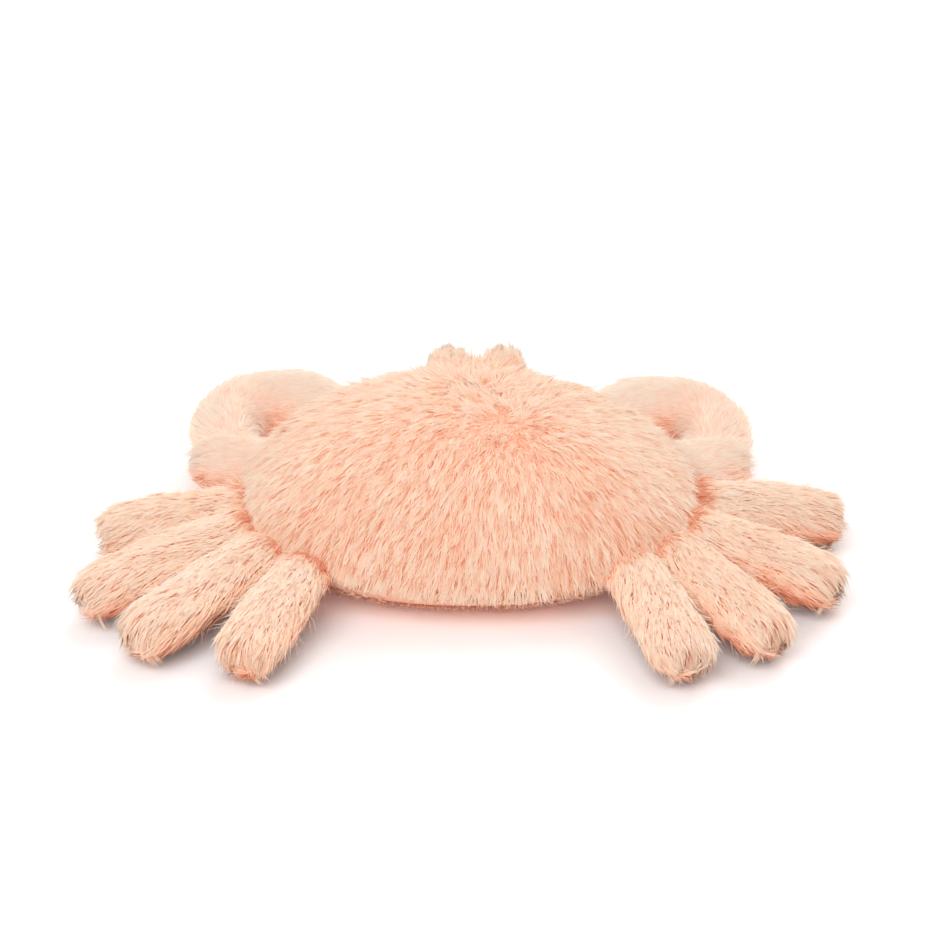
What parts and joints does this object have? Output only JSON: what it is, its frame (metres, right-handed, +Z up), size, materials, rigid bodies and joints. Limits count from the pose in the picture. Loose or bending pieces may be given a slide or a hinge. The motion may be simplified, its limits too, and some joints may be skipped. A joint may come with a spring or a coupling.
{
  "type": "plush crab",
  "caption": "Long-pile plush crab lying flat: a domed two-panel body, stuffed legs fanned back on each side, curled pincer claws in front and furry eye stalks with bead eyes.",
  "frame": {"origin": "middle of the belly's flat resting patch, on the surface that the crab lies on", "axes": "+Z up from that surface, +Y towards the crab's face and claws, +X towards the crab's right side"},
  "size_m": [0.2322, 0.1678, 0.0562],
  "materials": {
    "peach_plush": "long pile plush",
    "black_bead": "glossy"
  },
  "bodies": {
    "root": {"carapace": "peach_plush", "belly": "peach_plush", "right_leg_front": "peach_plush", "right_leg_mid_front": "peach_plush", "right_leg_mid_rear": "peach_plush", "right_leg_rear": "peach_plush", "left_leg_front": "peach_plush", "left_leg_mid_front": "peach_plush", "left_leg_mid_rear": "peach_plush", "left_leg_rear": "peach_plush", "right_arm": "peach_plush", "left_arm": "peach_plush", "right_claw": "peach_plush", "left_claw": "peach_plush", "right_eye_stalk": "peach_plush", "left_eye_stalk": "peach_plush", "right_bead_eye": "black_bead", "left_bead_eye": "black_bead"}
  },
  "joints": []
}
